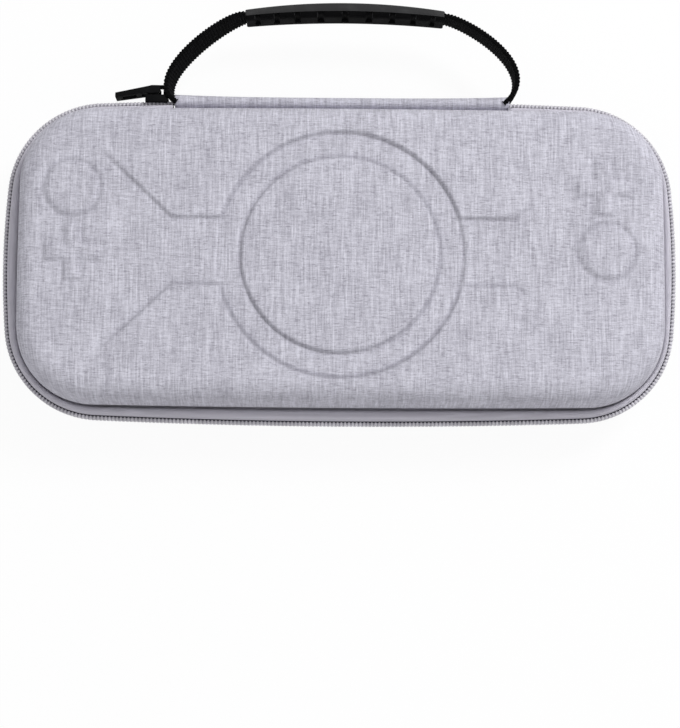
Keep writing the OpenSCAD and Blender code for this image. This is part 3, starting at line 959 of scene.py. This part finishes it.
@dataclass
class Shells:
    """The two covers and their linings."""

    shell_t: float = 3.5 * MM
    edge_r: float = 10 * MM
    front_r: float = 9 * MM
    panel_r: float = 9 * MM
    front_face_in: float = 10.6 * MM
    front_rows: int = 180
    back_rows: int = 80

    def end(self) -> float:
        """Length from the middle of a long side to the corner of the face grid."""
        return CREASE.long_len + CREASE.corner_len * 0.5

    def build(self) -> None:
        """Makes the four surfaces, with finer columns where the relief or a step needs them."""
        relief, zones = Relief(), GripZones()
        end = self.end()
        fine = spread([(58 * MM, 0.64 * MM), (end, 0.84 * MM)])
        front = Cover(
            Side.FRONT, relief.height, lambda x: self.front_r, fine, self.front_rows,
            face_in=self.front_face_in, pressed=relief.pressed,
        )
        front.build("front_cover", "cover", ["front_shell"])
        back = spread([(95 * MM, 2.4 * MM), (97.4 * MM, 0.2 * MM), (103 * MM, 0.5 * MM), (end, 1.5 * MM)])
        rear = Cover(Side.BACK, zones.height, self.back_r, back, self.back_rows)
        rear.build("back_cover", "cover_back", ["back_shell"])
        coarse = spread([(end, 3 * MM)])
        inner = self.edge_r - self.shell_t
        lid_height = relief.top - self.shell_t
        bay_height = self.inner_zones(zones).height
        for side, name, height, columns, rows in (
            (Side.FRONT, "lid_lining", lambda x, y: lid_height, coarse, 40),
            (Side.BACK, "bay_lining", bay_height, back, 50),
        ):
            lining = Cover(side, height, lambda x: inner, columns, rows, inset=self.shell_t, lip=0)
            lining.build(name, "lining")

    def back_r(self, x: float) -> float:
        """Radius of the back cover's edge, a little less along the set-in panel."""
        return self.panel_r if abs(x) < GripZones.panel_l else self.edge_r

    def inner_zones(self, zones: GripZones) -> GripZones:
        """The grip zones of the back cover's inner face."""
        return GripZones(zones.deep - self.shell_t, zones.set_in, zones.panel_l + self.shell_t, 2.5 * MM)


@dataclass
class Sweep:
    """A section carried along a stretch of an outline."""

    section: Sequence[Point2]
    start: float
    length: float
    outline: Outline = field(default_factory=lambda: TEETH)
    shape: Callable[[float, Point2], Point2] = lambda s, spot: spot
    step: float = 2.5 * MM

    def mesh(self) -> bmesh.types.BMesh:
        """Makes the swept shape from one grid, rolled round the outline.

        Returns:
            The shape, with its ends closed.
        """
        along = max(2, round(self.length / self.step))
        ring = [*self.section, self.section[0]]
        runs = [0.0]
        for a, b in zip(ring, ring[1:]):
            runs.append(runs[-1] + math.dist(a, b))

        def place(i: int, j: int) -> Vector:
            """The surface's point at two step numbers."""
            s = self.start + i * self.length / along
            return self.outline.place(s, *self.shape(s, ring[j]))

        return rolled(along, len(ring) - 1, place, lambda i, j: (i * self.length / along, runs[j]))


@dataclass
class Zip:
    """Tapes, cores and coils, all round the outline but for the hinge strip."""

    strip_half_l: float = 75.2 * MM
    gap: float = 0.2 * MM
    edge_in: float = 1.75 * MM
    crest_z: float = 5.6 * MM
    seam_z: float = 7.4 * MM
    tape_t: float = 1.0 * MM
    pitch: float = 1.68 * MM
    clear: float = 0.3 * MM
    arch_steps: int = 12
    arch_w: float = 0.48
    arch_round: float = 0.45
    ledge: float = 1.2
    seam_share: Point2 = (1.14, 1.3)
    seam_low: float = 1.6 * MM
    # A turn's width, distance out and height, at its head and at its root.
    head: tuple[float, float, float] = (0.7 * MM, -1.55 * MM, 1.9 * MM)
    root: tuple[float, float, float] = (1.45 * MM, 0.2 * MM, 1.8 * MM)
    turn_round: float = 0.22 * MM
    # Name, inner and outer edge and height.
    cores: tuple[tuple[str, float, float, float], ...] = (
        # The dark core stands for the shade in the gap by the tape.
        ("core", -1.8 * MM, -1.15 * MM, 1.2 * MM),
        ("cord", -1.15 * MM, -0.05 * MM, 1.75 * MM),
    )

    def span(self) -> tuple[float, float]:
        """Where the zip starts round the outline, and how long it is."""
        half = self.strip_half_l + self.clear
        return TEETH.quarter + half, 4 * TEETH.quarter - 2 * half

    def bulge(self, s: float, spot: Point2) -> Point2:
        """Carries a point of the tape's section to where the tape is.

        Args:
            s: Length round the zip.
            spot: The point, as a share of the tape's width and a height.

        Returns:
            The distance out of the teeth's outline and the height.
        """
        share, z = spot
        room = crease_room(s)
        return -self.edge_in - share * (room - self.edge_in), z

    def tape_section(self) -> list[Point2]:
        """Draws a tape, arched from the teeth to where it dips under the cover.

        Returns:
            Its section, as shares of the tape's width and heights.
        """
        rise = self.crest_z - self.gap
        turns = [math.pi * 0.95 * k / self.arch_steps for k in range(self.arch_steps + 1)]
        crest = [rise * math.sin(a) ** self.arch_round for a in turns]
        outer = [(self.arch_w * (1 - math.cos(a)), self.gap + z) for a, z in zip(turns, crest)]
        inner = [
            (self.arch_w - 0.3 * math.cos(a), self.gap + max(0.0, z - self.tape_t))
            for a, z in reversed(list(zip(turns, crest)))
        ]
        ledge = [(self.ledge, outer[-1][1]), (self.ledge, outer[-1][1] - self.tape_t)]
        return outer + ledge + inner

    def tooth(self, bm: bmesh.types.BMesh, s: float, sign: int) -> None:
        """Adds one turn of the coil: a rib that narrows to a head towards the tape.

        Args:
            bm: The coil so far.
            s: The turn's length round the zip.
            sign: The side of the zip line that it lies on.
        """
        for v in bmesh.ops.create_cube(bm, size=1)["verts"]:
            width, out, top = self.head if v.co.x < 0 else self.root
            z = self.gap + 0.1 * MM + (v.co.z + 0.5) * top
            v.co = TEETH.place(s + v.co.y * width, out, sign * z)

    def band(
        self,
        side: Side,
        name: str,
        section: Sequence[Point2],
        shape: Callable[[float, Point2], Point2] = lambda s, spot: spot,
        replaces: Sequence[str] = (),
    ) -> None:
        """Sweeps a section round the zip, on one cover's side of the zip line.

        Args:
            side: The cover.
            name: The last word of the piece's name, and its finish.
            section: The section, with heights from the zip line.
            shape: Carries a point of the section to where it is at a length round the zip.
            replaces: The nodes that the piece stands for.
        """
        bm = Sweep([(out, side.value * z) for out, z in section], *self.span(), shape=shape).mesh()
        piece(bm, f"{side.word}_{name}", name, side.body, replaces)

    def coil(self, side: Side) -> None:
        """Makes one coil; the two stand half a pitch apart, so that they interlock.

        Args:
            side: The cover that it belongs to.
        """
        start, length = self.span()
        count = round(length / self.pitch)
        shift = 0.25 if side is Side.FRONT else 0.75
        bm = bmesh.new()
        for k in range(count):
            self.tooth(bm, start + (k + shift) * length / count, side.value)
        bmesh.ops.bevel(
            bm, geom=list(bm.edges), offset=self.turn_round, affect="EDGES", segments=1, profile=0.5,
            material=-1,
        )
        bmesh.ops.recalc_face_normals(bm, faces=bm.faces)
        piece(bm, f"{side.word}_coil", "coil", side.body, [f"{side.word}_zip_teeth"])

    def build(self) -> None:
        """Makes both halves of the zip."""
        near, far = self.seam_share
        seam = [(near, self.seam_low), (near, self.seam_z), (far, self.seam_z), (far, self.seam_low)]
        for side in Side:
            self.band(side, "tape", self.tape_section(), self.bulge, [f"{side.word}_zip_tape"])
            # The seam strip under the cover's foot carries the darker finish, painted shade in the crease.
            self.band(side, "seam", seam, self.bulge)
            for name, inner, outer, top in self.cores:
                low = self.gap + 0.05 * MM
                section = [(inner, low), (outer, low), (outer, top), (inner, top + 0.1 * MM)]
                self.band(side, name, section)
            self.coil(side)


@dataclass
class HingeStrip:
    """The cloth strip that joins both covers behind the handle."""

    half_l: float = 75.2 * MM
    sag: float = 7.9 * MM
    end_rise: float = 0.17
    height: float = 5.2 * MM
    arch_w: float = 5.4 * MM
    seam_z: float = 7.4 * MM
    seam_in: tuple[float, float] = (0.5 * MM, 1.2 * MM)
    thick: float = 1.1 * MM
    arch_steps: int = 12
    arch_round: float = 0.7
    step: float = 1.5 * MM

    def stretch(self, s: float, spot: Point2) -> Point2:
        """Lets the crest stand a little further out towards the handle's feet."""
        share = abs(s - CREASE.quarter) / self.half_l
        return spot[0] * (1 + self.end_rise * share**3), spot[1]

    def build(self) -> None:
        """Makes the strip between the covers."""
        turns = [math.pi * 0.94 * k / self.arch_steps for k in range(self.arch_steps + 1)]
        half = [
            (self.sag - self.arch_w / 2 * (1 - math.cos(a)), self.height * math.sin(a) ** self.arch_round)
            for a in turns
        ]
        low = half[-1][1]
        near, far = self.seam_in
        half += [(-near, low), (-near, self.seam_z), (-far, self.seam_z)]
        outer = [(out, -z) for out, z in reversed(half[1:])] + half
        deep = self.sag - self.thick
        core = [
            (-far, low - self.thick / 2),
            (deep - self.arch_w, low - self.thick / 2),
            (deep - self.arch_w / 2, self.height - self.thick),
            (deep, 0.0),
            (deep - self.arch_w / 2, self.thick - self.height),
            (deep - self.arch_w, self.thick / 2 - low),
            (-far, self.thick / 2 - low),
        ]
        start = CREASE.quarter - self.half_l
        bm = Sweep(outer + core, start, 2 * self.half_l, CREASE, self.stretch, self.step).mesh()
        strip = piece(bm, "gusset", "cover", None, ["hinge_strip"])
        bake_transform(strip)


@dataclass(frozen=True)
class Limb:
    """One bare length of the webbing, from the grip's end to its foot."""

    turn: float
    run: float
    bulge_x: float
    bulge_y: float
    foot_x: float
    twist: float


@dataclass
class Handle:
    """Ribbed webbing with a slight twist, and the moulded grip that it runs through."""

    rise: float = 41.8 * MM
    mid_x: float = 1.7 * MM
    grip_half_l: float = 45 * MM
    taper: float = 0.2
    bend_r: float = 361 * MM
    limbs: tuple[Limb, Limb] = (
        Limb(-0.129, 8.6 * MM, 90.0 * MM, 9.6 * MM, 73.6 * MM, math.radians(-16)),
        Limb(-0.1, 8.2 * MM, 94.2 * MM, 16.0 * MM, 73.3 * MM, math.radians(-4.5)),
    )
    web_w: float = 12 * MM
    web_t: float = 1.9 * MM
    rib_pitch: float = 1.52 * MM
    groove_count: int = 9
    groove_d: float = 1.5 * MM
    groove_w: float = 0.14
    groove_spread: float = 0.154
    inside: float = 0.37
    foot_in: float = 1.5 * MM
    web_steps: tuple[int, int] = (900, 20)
    grip_steps: tuple[int, int] = (300, 48)
    web_edge: float = 0.3
    girth: float = 28 * MM
    rib_h: float = 0.3 * MM
    rib_w: float = 0.45 * MM
    corners_mm: tuple[Point2, ...] = (
        (3.7, 2.6), (3.2, 3.9), (-0.9, 7.1), (-1.7, 7.2), (-3.2, 6.2), (-3.7, 4.8)
    )

    def __post_init__(self) -> None:
        """Works out the grip's arc and the webbing's two curves."""
        self.grip_a = math.asin(self.grip_half_l / self.bend_r)
        self.bend_y = TEETH.half_w + self.rise - self.bend_r
        self.curves = []
        end_y = self.bend_y + self.bend_r * math.cos(self.grip_a)
        for side, limb in zip((-1, 1), self.limbs):
            end = Vector((self.mid_x + side * self.grip_half_l, end_y))
            turn = self.grip_a + limb.turn
            way = Vector((side * math.cos(turn), -math.sin(turn)))
            self.curves.append((
                end,
                end + way * limb.run,
                Vector((side * limb.bulge_x, TEETH.half_w + limb.bulge_y)),
                Vector((side * limb.foot_x, TEETH.half_w - self.foot_in)),
            ))

    def web_at(self, t: float) -> tuple[Vector, Vector]:
        """Follows the webbing.

        Args:
            t: From one foot at 0 to the other at 1; the grip covers the share "inside" of it.

        Returns:
            The place of its centre line and its direction, in plan.
        """
        side = -1 if t < 0.5 else 1
        u = abs(t - 0.5) * 2
        if u < self.inside:
            a = side * self.grip_a * u / self.inside
            spot = Vector((self.mid_x + self.bend_r * math.sin(a), self.bend_y + self.bend_r * math.cos(a)))
            return spot, Vector((math.cos(a), -math.sin(a)))
        v = (u - self.inside) / (1 - self.inside)
        p = self.curves[side > 0]
        spot = p[0] * (1 - v) ** 3 + p[1] * 3 * v * (1 - v) ** 2 + p[2] * 3 * v * v * (1 - v) + p[3] * v**3
        way = (p[1] - p[0]) * (1 - v) ** 2 + (p[2] - p[1]) * 2 * v * (1 - v) + (p[3] - p[2]) * v * v
        return spot, way.normalized() * side

    def twist(self, t: float) -> float:
        """The webbing's turn about its own line, most half way between the grip and a foot."""
        u = (abs(t - 0.5) * 2 - self.inside) / (1 - self.inside)
        return self.limbs[t > 0.5].twist * math.sin(math.pi * min(max(u, 0.0), 1.0)) ** 0.5

    def webbing(self) -> bmesh.types.BMesh:
        """Makes the webbing from a grid rolled round its line.

        Returns:
            The shape, with cross ribs.
        """
        along, around = self.web_steps
        line = [self.web_at(i / along) for i in range(along + 1)]
        runs = [0.0]
        for (a, _), (b, _) in zip(line, line[1:]):
            runs.append(runs[-1] + (b - a).length)

        def place(i: int, j: int) -> Vector:
            """Forms the webbing's surface.

            Args:
                i: Step along its line.
                j: Step round its section.

            Returns:
                The place of that point.
            """
            t = i / along
            centre, way = line[i]
            out = Vector((-way.y, way.x))
            a = 2 * math.pi * j / around
            rib = 0.5 + 0.5 * math.cos(2 * math.pi * runs[i] / self.rib_pitch)
            c, s = math.cos(a), math.sin(a)
            thick = (self.web_t / 2 + self.rib_h * rib) * math.copysign(abs(c) ** self.web_edge, c)
            wide = self.web_w / 2 - self.rib_h + self.rib_w * rib
            wide *= math.copysign(abs(s) ** self.web_edge, s)
            # It is narrower inside the grip, so that its ribs don't come through.
            wide *= 0.7 + 0.3 * smooth(0.35, 0.375, abs(t - 0.5) * 2)
            turn = self.twist(t)
            off_out = thick * math.cos(turn) - wide * math.sin(turn)
            off_z = thick * math.sin(turn) + wide * math.cos(turn)
            x, y = centre.x + out.x * off_out, centre.y + out.y * off_out
            return Vector((x, y + TEETH.mid_y, off_z + ZIP_Z))

        return rolled(along, around, place, lambda i, j: (runs[i], j * self.girth / around))

    def section(self, turn: float) -> Point2:
        """The grip's section: a flat top, a ridge along each face and a flat underside.

        Args:
            turn: Angle round the section, from its outer edge.

        Returns:
            Distances outwards and across.
        """
        half = [(a * MM, b * MM) for a, b in self.corners_mm]
        ring = half + [(a, -b) for a, b in reversed(half)]
        c, s = math.cos(turn), math.sin(turn)
        for (a0, b0), (a1, b1) in zip(ring, ring[1:] + ring[:1]):
            cross = (a1 - a0) * s - (b1 - b0) * c
            if abs(cross) < 1e-9:
                continue
            share = (b0 * c - a0 * s) / cross
            if -1e-9 <= share <= 1 + 1e-9:
                spot = (a0 + (a1 - a0) * share, b0 + (b1 - b0) * share)
                if spot[0] * c + spot[1] * s > 0:
                    return spot
        return half[0]

    def grip(self) -> bmesh.types.BMesh:
        """Makes the grip: a ridged sleeve with finger grooves along its inner edge.

        Returns:
            The shape.
        """
        along, around = self.grip_steps
        last = (self.groove_count - 1) / 2

        def place(i: int, j: int) -> Vector:
            """Forms the grip's surface.

            Args:
                i: Step along its arc.
                j: Step round its section.

            Returns:
                The place of that point.
            """
            share = i / along * 2 - 1
            a = share * self.grip_a
            out, wide = self.section(2 * math.pi * (j + 0.5) / around)
            run = share * last * (1.01 + self.groove_spread * share * share)
            near = abs(run - round(run)) if abs(round(run)) <= last else 0.5
            groove = max(0.0, 1 - (near / self.groove_w) ** 2) ** 0.5
            if out < -2.2 * MM and wide > -2 * MM:
                out += self.groove_d * groove
                wide *= 1 - 0.08 * groove
            end = smooth(0, 0.012, 1 - abs(share))
            slim = (1 - self.taper * share * share) * (0.9 + 0.1 * end)
            r = self.bend_r + out * slim
            x, y = r * math.sin(a) + self.mid_x, self.bend_y + r * math.cos(a)
            return Vector((x, y + TEETH.mid_y, wide * (0.94 + 0.06 * end) + ZIP_Z))

        return rolled(along, around, place)

    def build(self) -> None:
        """Makes the webbing and the grip, whose downward faces are painted darker as shade."""
        piece(self.webbing(), "webbing", "webbing", Body.HANDLE, ["handle_webbing"])
        grip = piece(self.grip(), "grip", "grip", Body.HANDLE, ["handle_grip"])
        grip.data.set_sharp_from_angle(angle=math.radians(20))
        grip.data.materials.append(material("grip_underside_shade"))
        # Downward faces get the near-black finish: painted shade where the floor would light them.
        for face in grip.data.polygons:
            face.material_index = int(face.normal.y < -0.3)


def rounded(node: str, name: str, finish: str, round_mm: float, body: Body) -> bpy.types.Object:
    """Makes a copy of a node with its sharp edges rounded.

    Args:
        node: The node.
        name: The new piece's name.
        finish: A key of FINISHES.
        round_mm: Radius of its edges, in millimetres.
        body: The body that it rides on.

    Returns:
        The object.
    """
    bm = bmesh.new()
    bm.from_mesh(frame["nodes"][node].data)
    bmesh.ops.remove_doubles(bm, verts=bm.verts, dist=1e-5)
    bmesh.ops.dissolve_limit(bm, angle_limit=math.radians(1), verts=bm.verts, edges=bm.edges)
    sharp = [e for e in bm.edges if len(e.link_faces) == 2 and e.calc_face_angle() > math.radians(35)]
    bmesh.ops.bevel(
        bm, geom=sharp, offset=round_mm * MM, affect="EDGES", segments=2, profile=0.5, material=-1,
        clamp_overlap=True,
    )
    made = piece(bm, name, finish, body, [node])
    made.data.set_sharp_from_angle(angle=math.radians(45))
    return made


@dataclass
class Inside:
    """The soft goods inside: each is the plain solid's form with soft edges, and the padded board is fuller
    in the middle.
    """

    soft: dict[str, tuple[str, str, float]] = field(
        default_factory=lambda: {
            "back_binding": ("bay_binding", "elastic", 0.25),
            "front_binding": ("lid_binding", "elastic", 0.25),
            "upper_strap": ("strap_upper", "elastic", 0.3),
            "lower_strap": ("strap_lower", "elastic", 0.3),
            "hook_pad": ("pad_hook", "fleece", 0.25),
            "loop_pad": ("pad_loop", "fleece", 0.25),
            "mesh_pocket": ("pocket_mesh", "mesh", 0.2),
            "pocket_elastic": ("pocket_band", "elastic", 0.2),
            "divider_board": ("divider_pad", "lining", 1.2),
            "divider_edging": ("divider_tape", "elastic", 0.2),
            "divider_hinge_tape": ("divider_hinge", "elastic", 0.2),
            "card_row_upper": ("cards_upper", "pocket", 0.3),
            "card_row_lower": ("cards_lower", "pocket", 0.3),
        }
    )
    remesh: float = 1.4 * MM
    edge_share: float = 0.84
    edge_fade: tuple[float, float] = (3 * MM, 14 * MM)

    def build(self) -> None:
        """Makes every soft piece inside, and crowns the padded board."""
        made = {}
        for node, (name, finish, round_mm) in self.soft.items():
            body = Body.BACK if node in frame["record"]["behaviour"]["bodies"]["back"] else Body.LID
            made[node] = rounded(node, name, finish, round_mm, body)
        self.crown(made["divider_board"])

    def crown(self, pad: bpy.types.Object) -> None:
        """Thins the padded board towards its bound edge, so that it stands fuller in the middle.

        Args:
            pad: The board; its mesh is made anew.
        """
        remesh = pad.modifiers.new("Remesh", "REMESH")
        remesh.mode = "VOXEL"
        remesh.voxel_size = self.remesh
        graph = bpy.context.evaluated_depsgraph_get()
        mesh = bpy.data.meshes.new_from_object(pad.evaluated_get(graph))
        pad.modifiers.remove(remesh)
        low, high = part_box("divider_board")
        middle = (low[2] + high[2]) / 2
        rim = min(TEETH.depth(v.co.x, v.co.y - TEETH.mid_y)[0] for v in mesh.vertices)
        for v in mesh.vertices:
            deep = TEETH.depth(v.co.x, v.co.y - TEETH.mid_y)[0] - rim
            full = self.edge_share + (1 - self.edge_share) * smooth(*self.edge_fade, deep)
            v.co.z = middle + (v.co.z - middle) * full
        mesh.shade_smooth()
        pad.data = mesh
        unroll(mesh, lambda p: (p.x, p.y))


@dataclass
class Puller:
    """The slider and its puller, with soft edges."""

    round_mm: float = 0.25

    def build(self) -> None:
        """Makes both as rounded copies of the castings."""
        rounded("zip_slider", "slider_body", "slider", self.round_mm, Body.SLIDER)
        rounded("zip_puller", "puller_tab", "puller", self.round_mm, Body.PULLER)


@dataclass
class Studio:
    """Floor, lamps, world and the camera at the photograph's angle."""

    height_px: int = 728
    distance: float = 0.9
    pitch: float = math.radians(10.5)
    yaw: float = math.radians(-0.23)
    turn: tuple[float, float, float] = (math.radians(-2.9), math.radians(-0.03), math.radians(0.38))
    px_per_m: float = 2231.6
    sensor_mm: float = 36
    surround: float = 0.5

    def floor(self) -> None:
        """Lays a pale floor that shows white to the camera and keeps a soft shadow."""
        bm = bmesh.new()
        bmesh.ops.create_grid(bm, x_segments=2, y_segments=2, size=3)
        mesh = bpy.data.meshes.new("floor")
        bm.to_mesh(mesh)
        bm.free()
        made = bpy.data.objects.new("floor", mesh)
        bpy.context.scene.collection.objects.link(made)
        paint = Paint("Floor paper")
        path = paint.node("LightPath", {}, {}, "Is Camera Ray")
        gloss = paint.node("LightPath", {}, {}, "Is Glossy Ray")
        shade = paint.node("BsdfDiffuse", {}, {"Color": srgb(240, 240, 242)})
        glow = paint.node("Emission", {}, {"Color": (1.0, 1.0, 1.0), "Strength": 1.0})
        paint.end(paint.node("MixShader", {}, {0: (path + gloss) * 0.94, 1: shade, 2: glow}))
        mesh.materials.append(paint.material)

    def world(self) -> None:
        """Gives an even pale surround."""
        world = bpy.data.worlds.new("Studio")
        world.use_nodes = True
        background = world.node_tree.nodes["Background"]
        background.inputs["Color"].default_value = (1, 1, 1, 1)
        background.inputs["Strength"].default_value = self.surround
        bpy.context.scene.world = world

    def lamp(self, name: str, place: Vector, size: float, power: float) -> None:
        """Hangs one soft lamp that faces the case.

        Args:
            name: The lamp's name.
            place: Where it hangs.
            size: The side of its square.
            power: Its power in watts.
        """
        light = bpy.data.lights.new(name, "AREA")
        light.size = size
        light.energy = power
        made = bpy.data.objects.new(name, light)
        made.location = place
        aim = Vector((0, TEETH.mid_y, ZIP_Z)) - place
        made.rotation_euler = aim.to_track_quat("-Z", "Y").to_euler()
        bpy.context.scene.collection.objects.link(made)

    def camera(self) -> None:
        """Puts the camera where the photograph was taken from."""
        data = bpy.data.cameras.new("Photo camera")
        data.sensor_width = self.sensor_mm
        span = self.height_px / self.px_per_m
        data.lens = self.sensor_mm * self.distance / span
        made = bpy.data.objects.new("Photo camera", data)
        side, down = math.sin(self.yaw), math.sin(self.pitch)
        back = Vector((side, -down * math.cos(self.yaw), math.cos(self.pitch) * math.cos(self.yaw)))
        right = Vector((0, 1, 0)).cross(back).normalized()
        look = Matrix((right, back.cross(right), back)).transposed()
        for angle, axis in zip(self.turn, "XYZ"):
            look = look @ Matrix.Rotation(angle, 3, axis)
        made.location = Vector((0, TEETH.mid_y, ZIP_Z)) + back * self.distance
        made.rotation_euler = look.to_euler()
        bpy.context.scene.collection.objects.link(made)
        bpy.context.scene.camera = made

    def build(self) -> None:
        """Sets up the studio."""
        bpy.context.scene.view_settings.view_transform = "Standard"
        self.floor()
        self.world()
        self.lamp("Key", Vector((0.7, 0.6, 1.25)), 0.4, 13.4)
        self.lamp("Side", Vector((1.5, 0.3, 0.3)), 0.5, 2)
        self.lamp("Fill", Vector((-0.3, -0.5, 1.5)), 1.2, 3.4)
        self.camera()


def main() -> None:
    """Builds the case and its studio, piece by piece."""
    logging.basicConfig(level=logging.INFO, format="%(message)s")
    Studio().build()
    Shells().build()
    Zip().build()
    HingeStrip().build()
    Handle().build()
    Puller().build()
    Inside().build()


if __name__ == "__main__":
    main()
